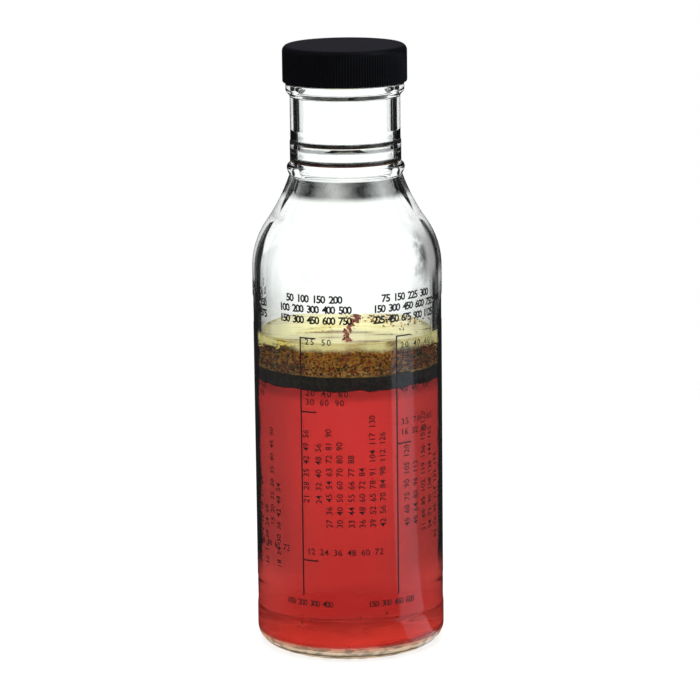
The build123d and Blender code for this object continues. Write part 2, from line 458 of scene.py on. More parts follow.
# %% [markdown]
# ## Herbs and spice
# Soaked herbs lie where oil and vinegar meet, in a dark band whose lower edge is ragged. On them lie
# spice flakes: thousands of small chips, thick where they settled and thinner upwards. Each chip is
# a box with its corners moved and turned at random from a fixed seed, so every run gives the same.

# %% Herbs
herb_overlap = 0.08
herb_row_gap = 0.8
herb_lumps = ((9, 0.3, 0.9, 0.22), (17, 1.9, 1.7, 0.16), (31, 4.4, 2.6, 0.12))
top_lump_share = 0.6


def lumpy(angle, radius, height):
    """The herb band with an uneven top and bottom."""
    radius, height = strayed(angle, radius, height)
    lumps = sum(size * np.sin(turns * angle + shift + rate * radius)
                for turns, shift, rate, size in herb_lumps)
    rise = np.clip((height - vinegar_level) / (herb_level - vinegar_level), 0, 1)
    return radius, height + lumps * np.where(rise > 0.5, top_lump_share, 1)


herb_rows = spaced(
    [(0, vinegar_level)]
    + [(inner_radius + herb_overlap, vinegar_level), (inner_radius + herb_overlap, herb_level)]
    + [(0, herb_level)],
    herb_row_gap,
)
herbs = turned("herbs", herb_rows, lumpy)
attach(herbs, "bottle")
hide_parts("herb_layer")

# %% Chips
chance = np.random.default_rng(7)
length_range = (0.6, 1.4)
width_range = (0.35, 0.9)
thickness_range = (0.5, 1.5)
corner_range = (0.55, 1)
corner_signs = np.array([(x, y, z) for x in (-1, 1) for y in (-1, 1) for z in (-1, 1)])
chip_faces = np.array(
    [(0, 1, 3, 2), (4, 6, 7, 5), (0, 4, 5, 1), (2, 3, 7, 6), (0, 2, 6, 4), (1, 5, 7, 3)]
)


def around(radius, angle, height):
    """Places in millimetres from radii, angles in degrees from the front, and heights."""
    turns = np.radians(angle)
    return np.stack([radius * np.sin(turns), -radius * np.cos(turns), height + 0 * turns], -1)


def chips(places, length, thickness):
    """The corners of one chip at each place, from flat and long to nearly round."""
    count = len(places)
    size = np.stack(
        [
            length * chance.uniform(*length_range, count),
            length * chance.uniform(*width_range, count),
            thickness * chance.uniform(*thickness_range, count),
        ],
        -1,
    )
    corners = corner_signs * chance.uniform(*corner_range, (count, 8, 3)) * size[:, None] / 2
    axes = np.linalg.qr(chance.normal(size=(count, 3, 3)))[0]
    return np.einsum("nij,nkj->nki", axes, corners) + places[:, None]


# %% Rules for where chips lie
wall_gap = 0.35
corner_gap = 0.05
reach = inner_radius - wall_gap
even, bell, fading = chance.uniform, chance.normal, chance.exponential
all_round = (even, -180, 180)


def beyond(inner, count):
    """Radii spread evenly over the disc outside an inner radius."""
    return np.sqrt(chance.uniform((inner / reach) ** 2, 1, count)) * reach


def near_wall(gap, count):
    """Radii that crowd against the wall, with a mean gap."""
    return reach - chance.exponential(gap, count)


def scattered(count, radii, turns, level, rises):
    """Places by three rules, each a draw and its limits: radii, turns in degrees, rises."""
    radius, angle, rise = (draw(*limits, count) for draw, *limits in (radii, turns, rises))
    return around(radius, angle, level + rise)


# %% The bed and the stack on it
stack_count = 1700
stack_gap = 0.9
stack_lift = 0.2
stack_rise = 1.6
stack_front = 95
stack_back_share = 0.35

bed = scattered(2400, (beyond, 0), all_round, herb_level, (even, -0.1, 0.7))
stack_turn = chance.uniform(-180, 180, stack_count)
stack_share = np.where(np.abs(stack_turn) < stack_front, 1, stack_back_share)
stack = around(
    near_wall(stack_gap, stack_count),
    stack_turn,
    herb_level + stack_lift + chance.exponential(stack_rise, stack_count) * stack_share,
)

# %% Heaps and loose chips
chain_count = 60
chain_start = (2.5, 25)
chain_shift = (4, 64)
chain_sway = 0.8
chain_bends = 9
chain_sink = 5
chain_scatter = (0.7, 0.3, 0.25)
heap_left_lift = 1
float_height = 0.1

drift = scattered(170, (beyond, 8), (bell, 52, 30), herb_level, (even, 2, 10.5))
heap_right = scattered(260, (near_wall, 1.4), (bell, 58, 11), herb_level, (even, 0, 9.5))
heap_left = scattered(
    90, (near_wall, 1.2), (bell, -42, 6), herb_level + heap_left_lift, (fading, 1.3)
)
chain_run = np.linspace(0, 1, chain_count)
chain = np.stack(
    [
        chain_start[0] - chain_shift[0] * chain_run + chain_sway * np.sin(chain_bends * chain_run),
        np.maximum(chain_start[1] - chain_shift[1] * chain_run, -reach),
        oil_level - chain_sink * np.clip(chain_run * 4 - 3, 0, 1),
    ],
    -1,
) + chance.normal(0, 1, (chain_count, 3)) * chain_scatter
afloat = scattered(90, (beyond, 12), (bell, 128, 26), oil_level + float_height, (np.zeros,))
specks = scattered(16, (beyond, 12), (even, -75, 75), floor_z, (even, 3, 9))
seeds = scattered(80, (near_wall, 0.6), (bell, 2, 20), herb_level, (even, 0.2, 1.4))

# %% Make the flakes
rust = (205, 90, 50)
dark_red = (150, 40, 25)
brown = (90, 55, 35)
bark = (50, 32, 24)
ochre = (238, 165, 82)
gold = (252, 186, 112)

# Places, mean length and thickness in millimetres, and the shades to draw from.
flake_groups = (
    (bed, 1.1, 0.3, (rust, brown, ochre, ochre, gold, gold)),
    (stack, 1.1, 0.35, (rust, dark_red, dark_red, brown, bark, gold)),
    (drift, 0.9, 0.35, (rust, dark_red, brown, bark)),
    (heap_right, 1.1, 0.4, (rust, brown, dark_red, bark)),
    (heap_left, 1.1, 0.4, (rust, dark_red, dark_red, bark)),
    (chain, 1.7, 0.7, (rust, dark_red, dark_red)),
    (afloat, 1.0, 0.35, (rust, brown, gold)),
    (specks, 0.7, 0.4, (dark_red,)),
    (seeds, 0.9, 0.5, (gold,)),
)
corner_sets = [chips(places, length, thick) for places, length, thick, shades in flake_groups]
shade_sets = [
    np.array(shades)[chance.integers(0, len(shades), len(places))]
    for places, length, thick, shades in flake_groups
]
corners = np.concatenate(corner_sets)
print("chips:", len(corners))
far = np.hypot(corners[..., 0], corners[..., 1])
pull = np.minimum(1, (inner_radius - corner_gap) / far)
corners[..., :2] *= pull[..., None]
first_corner = np.arange(len(corners))[:, None, None] * 8
flakes = mesh_object(
    "spice_flakes",
    corners.reshape(-1, 3),
    (first_corner + chip_faces).reshape(-1, 4).tolist(),
    smooth=False,
)
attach(flakes, "bottle")
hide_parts("spice_layer")

# %% [markdown]
# ## Colours from screen values
# Colours are noted as they look on a screen, from 0 to 255. Shaders add and multiply light, so they
# take linear values, and one helper turns the one into the other.

# %% Colours
def linear(values):
    """Screen values from 0 to 255 as linear values."""
    share = np.asarray(values) / 255
    return np.where(share <= 0.04045, share / 12.92, ((share + 0.055) / 1.055) ** 2.4)


def colour(*screen):
    """One colour as a shader takes it."""
    return (*(float(value) for value in linear(screen)), 1)


shade_of_corner = np.repeat(np.concatenate(shade_sets), 24, axis=0)
flake_shades = flakes.data.color_attributes.new(name="flake_shade", type="FLOAT_COLOR", domain="CORNER")
flake_shades.data.foreach_set(
    "color", np.column_stack([linear(shade_of_corner), np.ones(len(shade_of_corner))]).ravel()
)

# %% [markdown]
# ## The printed scales
# The four upright lines with their ticks are CAD parts, because they are the measuring scales. The
# figures beside them are made here from Blender's own font: a text curve gives the outline of each
# digit once, and every figure is then bent round the bottle digit by digit. All of them are plain
# runs of multiples.

# %% Digits
def digit_mesh(digit, weight):
    """The points and faces of one digit, one unit deep, welded into a closed skin."""
    text = bpy.data.curves.new("digit", "FONT")
    text.body = digit
    text.resolution_u = 2
    text.offset = weight
    text.extrude = 0.5
    made = bpy.data.objects.new("digit", text)
    bpy.context.collection.objects.link(made)
    solid = made.evaluated_get(bpy.context.evaluated_depsgraph_get())
    mesh = bpy.data.meshes.new_from_object(solid)
    skin = bmesh.new()
    skin.from_mesh(mesh)
    bmesh.ops.remove_doubles(skin, verts=skin.verts, dist=1e-5)
    points = np.array([vertex.co[:] for vertex in skin.verts])
    faces = [[vertex.index for vertex in face.verts] for face in skin.faces]
    skin.free()
    bpy.data.meshes.remove(mesh)
    bpy.data.objects.remove(made)
    bpy.data.curves.remove(text)
    return points, faces


digits = {
    (digit, bold): digit_mesh(digit, 0.028 if bold else 0.006)
    for digit in "0123456789" for bold in (False, True)
}
zero_points = digits["0", False][0]
digit_height = np.ptp(zero_points[:, 1])
digit_width = np.ptp(zero_points[:, 0])
print("digit is", round(digit_height, 3), "tall and", round(digit_width, 3), "wide in font units")

# %% Bend figures round the bottle
print_thickness = 0.03
print_sink = 0.02
print_points = []
print_faces = []


def print_line(text, angle, height, letter, run, upright=False, bold=False):
    """A line of figures from an angle in degrees and a height. It spreads over a run in mm."""
    scale = letter / digit_height
    pace = run / len(text)
    for place, sign in enumerate(text):
        if sign == " ":
            continue
        points, faces = digits[sign, bold]
        along = (points[:, 0] - points[:, 0].min() - np.ptp(points[:, 0]) / 2) * scale
        along = along + (place + 0.5) * pace
        up = points[:, 1] * scale
        turn = np.radians(angle) + (-up if upright else along) / print_radius
        level = height + (along if upright else up)
        stand = np.clip((level - label_top) / bumper_ramp, 0, 1) * (bumper_stand - bumper_trim)
        depth = (points[:, 2] + 0.5) * (print_thickness + print_sink) - print_sink
        radius = label_radius + stand + depth
        first = sum(len(group) for group in print_points)
        print_points.append(
            np.stack([radius * np.sin(turn), -radius * np.cos(turn), level], -1)
        )
        print_faces.extend([first + corner for corner in face] for face in faces)


def run_of(step, count, first=1):
    """A run of multiples of a step."""
    return " ".join(str(step * number) for number in range(first, first + count))


def fitting(step, run):
    """As many multiples of a step as fit a run in mm."""
    count = 1
    while len(run_of(step, count + 1)) * column_pace < run:
        count += 1
    return run_of(step, count)


# %% Lay the figures out
small_letter = 2.1
bold_letter = 2.5
column_pace = 1.45
scale_angles = (-90, -30, 30, 90)
bold_middle = 9
row_start = 3
caption_starts = (-19, -12)
caption_level = 19.0
caption_run = 17
bold_rows = ((121.0, 19.6, 25, 4), (117.6, 25.5, 50, 5), (114.0, 25.5, 75, 5))
left_rows = ((107.0, 9.5, 25), (90.0, 15.0, 20), (87.0, 13.5, 30), (36.7, 26.0, 12))
right_rows = ((105.0, 14.5, 20), (101.5, 10.0, 15), (94.0, 10.0, 25), (90.5, 14.0, 40),
              (79.5, 15.5, 35), (76.0, 12.0, 16))
mm_per_degree = math.radians(1) * print_radius
for number, angle in enumerate(scale_angles, 1):
    for level, run, step, count in bold_rows if number < len(scale_angles) else ():
        start = angle + bold_middle - run / 2 / mm_per_degree
        print_line(run_of(step * number, count), start, level, bold_letter, run, bold=True)
    for level, run, step in left_rows if angle < 0 else right_rows:
        print_line(fitting(step, run), angle + row_start, level, small_letter, run)
    start = angle + caption_starts[(number - 1) % 2]
    print_line(run_of(50 * number, 4), start, caption_level, small_letter, caption_run)

# %% Columns of figures
column_starts = ((-80, 30), (-74, 30), (-67, 36), (-60, 30), (-53, 44), (-47, 30), (-25, 54), (-17, 54),
                 (-10.5, 46), (-4, 46), (3, 46), (9.5, 46), (16, 46), (22.3, 46), (39, 45), (46, 45),
                 (53, 42), (60, 42), (67, 38), (74, 38), (80, 38))
for number, (angle, bottom) in enumerate(column_starts, 1):
    count = 5 + number * 3 % 4
    figures = run_of(number, count, 3)
    print_line(figures, angle, bottom, small_letter, column_pace * len(figures), upright=True)
figures_mesh = mesh_object("printed_figures", np.concatenate(print_points), print_faces, smooth=False)
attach(figures_mesh, "bottle")

# %% [markdown]
# ## The cap
# The cap is moulded plastic with fine ribs for grip. Its CAD solid has flat-sided ribs, so a turned
# mesh with rounded ribs stands for it, with the thread ridge inside that the bottle's thread holds.

# %% Sizes of the cap
rib_count = 138
rib_depth = 0.35
rib_samples = 6
cap_row_gap = 0.3
cap_wall = 1.6
cap_top_wall = 1.9
cap_top_round = 2.2
cap_edge_round = 0.6
cap_corner_round = 0.3
thread_clearance = 0.3
flank_clearance = 0.25
cap_thread_crest_width = 0.7
cap_thread_bottom_rise = 1.5
cap_thread_top_drop = 3.2
cap_inner_radius = cap_radius - cap_wall
cap_ceiling = cap_top - cap_top_wall
cap_thread_height = cap_inner_radius - (finish_radius + thread_clearance)
cap_thread_width = cap_thread_crest_width + 2 * cap_thread_height * thread_flank_slope
cap_thread_bottom = cap_bottom + cap_thread_bottom_rise
cap_thread_offset = (
    thread_root_width / 2 + cap_thread_crest_width / 2 - thread_clearance * thread_flank_slope
    + flank_clearance
)
cap_thread_start = thread_start + 360 / thread_pitch * (
    cap_thread_bottom + cap_thread_offset - (bead_top + thread_bottom_rise)
)

# %% Make the cap
cap_edge_z = cap_bottom + cap_edge_round
cap_corner = (cap_inner_radius - cap_corner_round, cap_ceiling - cap_corner_round)
cap_outside = (
    arc((cap_inner_radius + cap_edge_round, cap_edge_z), cap_edge_round, 180, 270, 4)
    + arc((cap_radius - cap_edge_round, cap_edge_z), cap_edge_round, -90, 0, 8)
    + arc((cap_radius - cap_top_round, cap_top - cap_top_round), cap_top_round, 0, 90, 14)
    + [(0, cap_top)]
)
cap_inside = (
    [(0, cap_ceiling), (cap_inner_radius - cap_corner_round, cap_ceiling)]
    + arc(cap_corner, cap_corner_round, 90, 0, 4)
    + spaced([(cap_inner_radius, cap_corner[1]), (cap_inner_radius, cap_edge_z)], cap_row_gap)
)
cap_rows = spaced(cap_inside + cap_outside, 3.0)
rib_top = cap_top - 0.7 * cap_top_round


def cap_shape(angle, radius, height):
    """The turned cap with ribs outside and a thread ridge inside."""
    outside = radius > cap_inner_radius + cap_wall / 2
    upright = np.clip((height - cap_bottom) / cap_edge_round, 0, 1)
    upright = upright * np.clip((rib_top - height) / (cap_top_round / 2), 0, 1)
    groove = rib_depth * (0.5 + 0.5 * np.cos(rib_count * angle)) ** 1.5 * upright
    thread = ridge(
        angle, height, cap_thread_bottom, rim_z - cap_thread_top_drop, cap_thread_height,
        cap_thread_width, cap_thread_start,
    )
    on_wall = np.abs(radius - cap_inner_radius) < 1e-6
    return np.where(outside, radius - groove, np.where(on_wall, radius - thread, radius)), height


cap = turned("ribbed_cap", cap_rows, cap_shape, rib_count * rib_samples)
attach(cap, "cap")
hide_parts("screw_cap")

# %% [markdown]
# ## Finishes
# Shader sums are written as Python sums. A Term stands for one output of a node, and each operator
# adds a Math node. Other nodes all come from Tree.node, which takes the settings first and then
# fills the sockets with values or links.

# %% Shader sums
class Term:
    """One output of a node. Sums with numbers and other terms add Math nodes."""

    def __init__(self, tree, made, output):
        self.tree = tree
        self.made = made
        self.socket = made.outputs[output] if made.outputs else None

    def other(self, output):
        """Another output of the same node."""
        return Term(self.tree, self.made, output)

    def __add__(self, other):
        return self.tree.maths("ADD", self, other)

    __radd__ = __add__

    def __sub__(self, other):
        return self.tree.maths("SUBTRACT", self, other)

    def __rsub__(self, other):
        return self.tree.maths("SUBTRACT", other, self)

    def __mul__(self, other):
        return self.tree.maths("MULTIPLY", self, other)

    __rmul__ = __mul__

    def __gt__(self, other):
        return self.tree.maths("GREATER_THAN", self, other)


class Tree:
    """The nodes of a material, or of the world."""

    def __init__(self, owner):
        owner.use_nodes = True
        self.nodes = owner.node_tree.nodes
        self.links = owner.node_tree.links
        self.nodes.clear()

    def node(self, kind, settings=None, inputs=None, output=0):
        """Adds a node, makes its settings, then fills its sockets with values or links."""
        made = self.nodes.new("ShaderNode" + kind)
        for name, value in (settings or {}).items():
            setattr(made, name, value)
        for name, value in (inputs or {}).items():
            if isinstance(value, Term):
                self.links.new(value.socket, made.inputs[name])
            else:
                made.inputs[name].default_value = value
        return Term(self, made, output)

    def maths(self, operation, *values):
        return self.node("Math", {"operation": operation}, dict(enumerate(values)))

    def mix(self, factor, first, second):
        """Two colours mixed by a factor."""
        return self.node("Mix", {"data_type": "RGBA"}, {0: factor, 6: first, 7: second}, 2)

    def step(self, value, low, high):
        """A number that rises smoothly from 0 at a low value to 1 at a high one."""
        settings = {"interpolation_type": "SMOOTHSTEP"}
        return self.node("MapRange", settings, {"Value": value, "From Min": low, "From Max": high})

    def between(self, value, low, high, blur):
        """1 from a low value to a high one and 0 beyond, with soft ends."""
        rises = self.step(value, low - blur, low + blur)
        return rises * (1 - self.step(value, high - blur, high + blur))

    def largest(self, first, *others):
        """The largest of some numbers."""
        for other in others:
            first = self.maths("MAXIMUM", first, other)
        return first

    def place(self):
        """Places on the piece in metres, which move with it."""
        return self.node("TexCoord", None, None, "Object")

    def along(self, axis):
        """How far along an axis a place on the piece is, in millimetres."""
        return self.node("SeparateXYZ", None, {"Vector": self.place()}, axis) * (1 / MM)

    def from_outside(self):
        """1 where a skin is seen from its outside."""
        return 1 - self.node("NewGeometry", None, None, "Backfacing")

    def turned_away(self):
        """0 where a skin faces the ray, up to 1 where the ray grazes it."""
        return self.node("LayerWeight", None, {"Blend": 0.5}, "Facing")

    def noise(self, size, detail=3.0, stretch=(1, 1, 1)):
        """A cloud between 0 and 1 whose lumps are a size in millimetres."""
        scale = tuple(share / (size * MM) for share in stretch)
        place = self.node("VectorMath", {"operation": "MULTIPLY"}, {0: self.place(), 1: scale})
        return self.node("TexNoise", None, {"Vector": place, "Scale": 1.0, "Detail": detail}, "Fac")

    def skin(self, base, roughness, **inputs):
        """A surface of one colour and roughness. Other inputs are named with _ for a space."""
        more = {name.replace("_", " "): value for name, value in inputs.items()}
        return self.node("BsdfPrincipled", None, {"Base Color": base, "Roughness": roughness, **more})

    def liquid(self, base, index, glare=True):
        """A clear surface that bends light by an index, with or without a mirrored glare."""
        tint = (1, 1, 1, 1) if glare else (0, 0, 0, 1)
        return self.skin(base, 0, IOR=index, Transmission_Weight=1, Specular_Tint=tint)

    def glow(self, shade, strength, roughness):
        """A dark surface that shines by itself."""
        black = (0.02, 0.02, 0.02, 1)
        return self.skin(black, roughness, Emission_Color=shade, Emission_Strength=strength)

    def blend(self, share, first, second):
        """Two shaders mixed by a share of the second."""
        return self.node("MixShader", None, {0: share, 1: first, 2: second})

    def bumps(self, heights, strength, distance):
        """The normal of a skin with small bumps, whose size is in millimetres."""
        inputs = {"Strength": strength, "Distance": distance * MM, "Height": heights}
        return self.node("Bump", None, inputs, "Normal")

    def absorbing(self, shade, density):
        """A liquid that takes light away with depth."""
        return self.node("VolumeAbsorption", None, {"Color": shade, "Density": density})

    def finish(self, kind="OutputMaterial", **shaders):
        self.node(kind, None, shaders)


def material(name):
    made = bpy.data.materials.new(name)
    return made, Tree(made)


def coat(piece, finish):
    """Puts one finish on a piece, in place of what it had."""
    piece.data.materials.clear()
    piece.data.materials.append(finish)


# %% [markdown]
# ## Glass
# Clear glass bends light with an index of 1.52 and takes away almost none. The black at its edges
# comes partly from the dark part of the studio, made further down, and partly from painted shade: a
# ragged dark rim and darker sides where the liquids fill it and the skin turns away from the eye.
# More of the light and shade that thick glass bends is painted on its outside: painted shade in
# patches under the neck, a smudge on the right shoulder, bars at the sides of the neck, lines at the
# neck's grooves and a spot below the cap, and painted light as a glow on the heel and on the right
# shoulder. They count only when looked at from outside, as shares of dark or of shining glass.
# Heights are in millimetres, and how far a skin is turned away from the eye is a share.

# %% Sizes of the painted shade and light
filled_foot = (22, 34)
filled_head = (112, 134)
rim_turned = (0.62, 0.74)
rim_lump = 9
rim_wander = 0.12
right_side = (0, 20)
right_rim_shift = 0.02
side_turned = (0.02, 0.38)
side_share = 0.34
patch_count = 7
patch_angle = 14
patch_drop = 7.2
patch_fade = 2.5
patch_end = 0.5
patch_share = 0.76
patch_swing = 0.18
patch_lump = 3
patch_wander = 0.25
shoulder_shade_turned = (0.32, 0.46)
shoulder_shade_foot = (122, 131)
shoulder_shade_head = (137, 146)
shoulder_shade_lump = 5
shoulder_shade_wander = 0.3
shoulder_shade_share = 0.88
bar_turned = (0.49, 0.635)
bar_blur = 0.02
bar_foot = 0.5
bar_end_blur = 0.4
bar_share = 0.97
bar_wander = 0.08
bar_lump = 5
groove_shade_lump = 6
groove_shade_dip = 0.14
line_blur = 0.3
soft_line_rises = (8.7, 10.0)
soft_line_share = 0.62
groove_line_rises = ((4.95, 6.15), (10.75, 11.95))
groove_line_share = 0.95
nub_rises = (26.5, 27.5)
nub_angles = (3.5, 8.5)
nub_blur = 0.2
nub_turn_blur = 0.6
nub_share = 0.9
heel_pink = (2.6, 5.2)
heel_top = (4.4, 5.4)
heel_line = (1.5, 2.3)
heel_line_share = 0.85
heel_lump = 4
heel_fleck_share = 0.7
heel_share = 0.85
shoulder_light_turned = (0.46, 0.64)
shoulder_light_heights = (127, 147)
shoulder_light_turn_blur = 0.04
shoulder_light_blur = 4
shoulder_light_share = 0.4

# %% Painted shade on the glass
glass_base = (0.97, 0.99, 0.98, 1)
glass_index = 1.52
clear_glass, tree = material("clear_glass")
height = tree.along("Z")
to_right = tree.along("X")
facing = tree.turned_away()
outer = tree.from_outside()
around_axis = tree.maths("ARCTAN2", to_right, -1 * tree.along("Y")) * math.degrees(1)
on_right = tree.step(to_right, *right_side)

# Painted shade: where the liquids fill the bottle, a ragged dark rim and darker sides are painted where
# the skin turns away from the eye.
filled = tree.step(height, *filled_foot) * (1 - tree.step(height, *filled_head))
ragged = facing + (tree.noise(rim_lump) - 0.5) * rim_wander - on_right * right_rim_shift
painted_dark_rim = tree.step(ragged, *rim_turned) * filled
painted_dark_side = tree.step(facing, *side_turned) * filled * side_share

# Painted shade: dark patches painted round the glass just under the neck.
patch_bottom = neck_root_z - patch_drop
patch_band = tree.step(height, patch_bottom, patch_bottom + patch_fade)
patch_band = patch_band * (1 - tree.step(height, neck_root_z - patch_end, neck_root_z))
patch_wave = tree.maths("COSINE", (around_axis - patch_angle) * math.radians(patch_count))
shade_patches = patch_share + patch_wave * patch_swing + (tree.noise(patch_lump) - 0.5) * patch_wander

# Painted shade: a dark smudge painted on the right shoulder where the skin turns away.
shoulder_shade = tree.step(facing + (tree.noise(shoulder_shade_lump) - 0.5) * shoulder_shade_wander, *shoulder_shade_turned)
shoulder_shade = shoulder_shade * tree.step(height, *shoulder_shade_foot) * (1 - tree.step(height, *shoulder_shade_head))

# Painted shade: dark bars painted at both sides of the neck.
neck_bar_shade = tree.between(facing, *bar_turned, bar_blur)
neck_bar_shade = neck_bar_shade * tree.between(height, ring_top + bar_foot, neck_top, bar_end_blur)
neck_bar_shade = neck_bar_shade * (bar_share - tree.noise(bar_lump, 3, (1, 1, 0.3)) * bar_wander)


def neck_line(low, high, blur):
    """1 from one height above the foot of the neck to another, and 0 beyond."""
    return tree.between(height, neck_root_z + low, neck_root_z + high, blur)


# Painted shade: a grey line across the neck, dark lines at its two grooves, a little uneven, and a
# small dark spot just below the cap.
grey_line_shade = neck_line(*soft_line_rises, line_blur)
uneven_groove_shade = 1 - tree.step(tree.noise(groove_shade_lump), 0.5, 0.68) * groove_shade_dip
groove_line_shade = [
    neck_line(*rises, line_blur) * uneven_groove_shade * groove_line_share for rises in groove_line_rises
]
nub_shade = neck_line(*nub_rises, nub_blur)
nub_shade = nub_shade * tree.between(around_axis, *nub_angles, nub_turn_blur)

# All the painted shade, mixed in as dark glass: the marks count only from outside, the dark rim and
# sides from either side of the skin.
shade_marks = tree.largest(
    shade_patches * patch_band,
    shoulder_shade * on_right * shoulder_shade_share,
    neck_bar_shade,
    grey_line_shade * soft_line_share,
    nub_shade * nub_share,
    *groove_line_shade,
)
painted_shade = tree.largest(painted_dark_rim, painted_dark_side, shade_marks * outer)
shade_glass = tree.skin(colour(14, 14, 16), 0.25)
shader = tree.blend(painted_shade, tree.liquid(glass_base, glass_index), shade_glass)

# %% Painted light on the heel and shoulder, and the finished glass
# Painted light: the heel glows pale and pink from outside, with darker flecks and a darker line painted
# into the glow.
heel_light_colour = tree.mix(tree.step(height, *heel_pink), colour(222, 200, 168), colour(214, 132, 106))
heel_light_flecks = tree.step(tree.noise(heel_lump, 4, (1, 1, 3)), 0.45, 0.6) * heel_fleck_share
heel_light_colour = tree.mix(heel_light_flecks, heel_light_colour, colour(104, 92, 72))
heel_light_line = tree.between(height, *heel_line, line_blur) * heel_line_share
heel_light_colour = tree.mix(heel_light_line, heel_light_colour, colour(80, 78, 62))
heel_light_share = (1 - tree.step(height, *heel_top)) * outer * heel_share
shader = tree.blend(heel_light_share, shader, tree.glow(heel_light_colour, 0.95, 0.2))
# Painted light: a pale glow on the right shoulder where the skin turns away.
shoulder_light = tree.between(facing, *shoulder_light_turned, shoulder_light_turn_blur)
shoulder_light = shoulder_light * tree.between(height, *shoulder_light_heights, shoulder_light_blur)
shoulder_light = shoulder_light * on_right * outer * shoulder_light_share
shader = tree.blend(shoulder_light, shader, tree.glow(colour(228, 228, 228), 1, 0.2))
tree.finish(Surface=shader)
coat(glass, clear_glass)

for name, glare in (("wet_glass", False), ("dry_glass", True)):
    inner_glass, tree = material(name)
    tree.finish(Surface=tree.liquid(glass_base, glass_index, glare))
    glass.data.materials.append(inner_glass)
side = np.zeros(len(glass.data.polygons), dtype=np.int32)
centres = np.empty(len(glass.data.polygons) * 3)
glass.data.polygons.foreach_get("center", centres)
inner_height = centres.reshape(-1, 3)[inner_faces_from:, 2] / MM
side[inner_faces_from:] = np.where(inner_height < oil_level, 1, 2)
glass.data.polygons.foreach_set("material_index", side)

# %% [markdown]
# ## Liquids
# Vinegar and oil are clear and take light away with depth, and a share of each is cloudy. The many
# reflections inside a full bottle make its liquids shine where they lie thin, near the floor and at
# the oil's surface, and the vinegar shines in its upper part too. A render would need too long to
# find that light, so it is painted light, given as a glow.

# %% Vinegar finish
vinegar_index = 1.34
vinegar_density = 38
floor_glow_heights = (8, 17)
floor_glow_wander = 8
floor_glow_lump = 16
floor_shade_lump = 18
aside_turned = (0.05, 0.6)
aside_share = 0.75
red_lump = 14
cloud_lump = 25
top_glow_heights = (32, 66)
top_glow_end = (vinegar_level - 5, vinegar_level - 1)
cloud_heights = (40, vinegar_level)

red_vinegar, tree = material("red_vinegar")
height = tree.along("Z")
# Painted light: the vinegar glows near the floor, less where its skin turns away, and again in its
# upper part, fading just below its top.
near_floor = height + (tree.noise(floor_glow_lump, 3, (1, 1, 3)) - 0.5) * floor_glow_wander
near_floor = 1 - tree.step(near_floor, *floor_glow_heights)
aside = tree.step(tree.turned_away(), *aside_turned) * aside_share
near_floor = near_floor * (1 - aside) * (0.6 + 0.4 * tree.noise(floor_shade_lump))
upper_red_glow = tree.step(height, *top_glow_heights)
upper_red_glow = upper_red_glow * (1 - tree.step(height, *top_glow_end))
cloudy_red = tree.mix(tree.step(height, 0, vinegar_level), colour(185, 45, 34), colour(70, 12, 15))
cloudy_red = tree.mix(tree.noise(red_lump) * 0.4, cloudy_red, colour(200, 60, 50))
cloudy_red = tree.mix(near_floor, cloudy_red, colour(255, 66, 42))
cloudy_red = tree.mix(upper_red_glow, cloudy_red, colour(200, 44, 42))
lit_red = tree.mix(near_floor, (0, 0, 0, 1), colour(255, 55, 34))
lit_red = tree.mix(upper_red_glow, lit_red, colour(255, 64, 62))
cloudy = tree.skin(cloudy_red, 0.4, Emission_Color=lit_red, Emission_Strength=0.42)
cloud_share = 0.10 + 0.10 * tree.noise(cloud_lump) + tree.step(height, *cloud_heights) * 0.22
cloud_share = cloud_share + near_floor * 0.35
clear = tree.liquid((0.85, 0.25, 0.2, 1), vinegar_index, glare=False)
red_depth = tree.absorbing((0.78, 0.0075, 0.06, 1), vinegar_density)
tree.finish(Surface=tree.blend(cloud_share, clear, cloudy), Volume=red_depth)
coat(vinegar, red_vinegar)

# %% Oil finish
oil_wall_index = 1.2
oil_surface_index = 1.02
oil_density = 42
glow_depths = (1, 3.4)
glow_wander = 4
glow_lump = 7
cloud_lump = 30
sheen_lump = 9

salad_oil, tree = material("salad_oil")
at_the_wall = tree.liquid((1, 0.99, 0.9, 1), oil_wall_index, glare=False)
at_the_surface = tree.liquid((1, 0.98, 0.86, 1), oil_surface_index, glare=False)
streaks = tree.noise(cloud_lump, 4, (1, 1, 9))
cloudy_yellow = tree.mix(tree.step(streaks, 0.42, 0.66), colour(248, 238, 160), colour(190, 176, 92))
skin_normal = tree.node("NewGeometry", None, None, "Normal")
upright = tree.node("SeparateXYZ", None, {"Vector": skin_normal}, "Z")
on_surface = tree.step(upright, 0.3, 0.6)
shader = tree.blend(on_surface, at_the_wall, at_the_surface)
shader = tree.blend(0.06, shader, tree.skin(cloudy_yellow, 0.3))
sheen_streaks = tree.step(tree.noise(sheen_lump, 4, (0.5, 1.6, 1)), 0.31, 0.54)
sheen_shade = tree.mix(sheen_streaks, colour(206, 184, 104), colour(248, 240, 168))
depth = oil_level - tree.along("Z") + (tree.noise(glow_lump) - 0.5) * glow_wander
at_top = on_surface * (0.35 + 0.4 * sheen_streaks)
below_top = (1 - on_surface) * (1 - tree.step(depth, *glow_depths)) * (0.2 + 0.5 * sheen_streaks)
sheen = tree.largest(at_top, below_top) * tree.from_outside()
shader = tree.blend(sheen, shader, tree.glow(sheen_shade, 0.9, 0.3))
tree.finish(Surface=shader, Volume=tree.absorbing((0.96, 0.86, 0.05, 1), oil_density))
coat(oil, salad_oil)

# %% [markdown]
# ## Herbs and flakes
# The herbs are nearly black where they are soaked, and straw-coloured husks lie on top of them. Each
# flake has its own shade, with fine dark specks.

# %% Herb finish
husk_depth = 0.5
husk_lump = 2.4
leaf_lump = 1.1
leaf_bump = 0.4

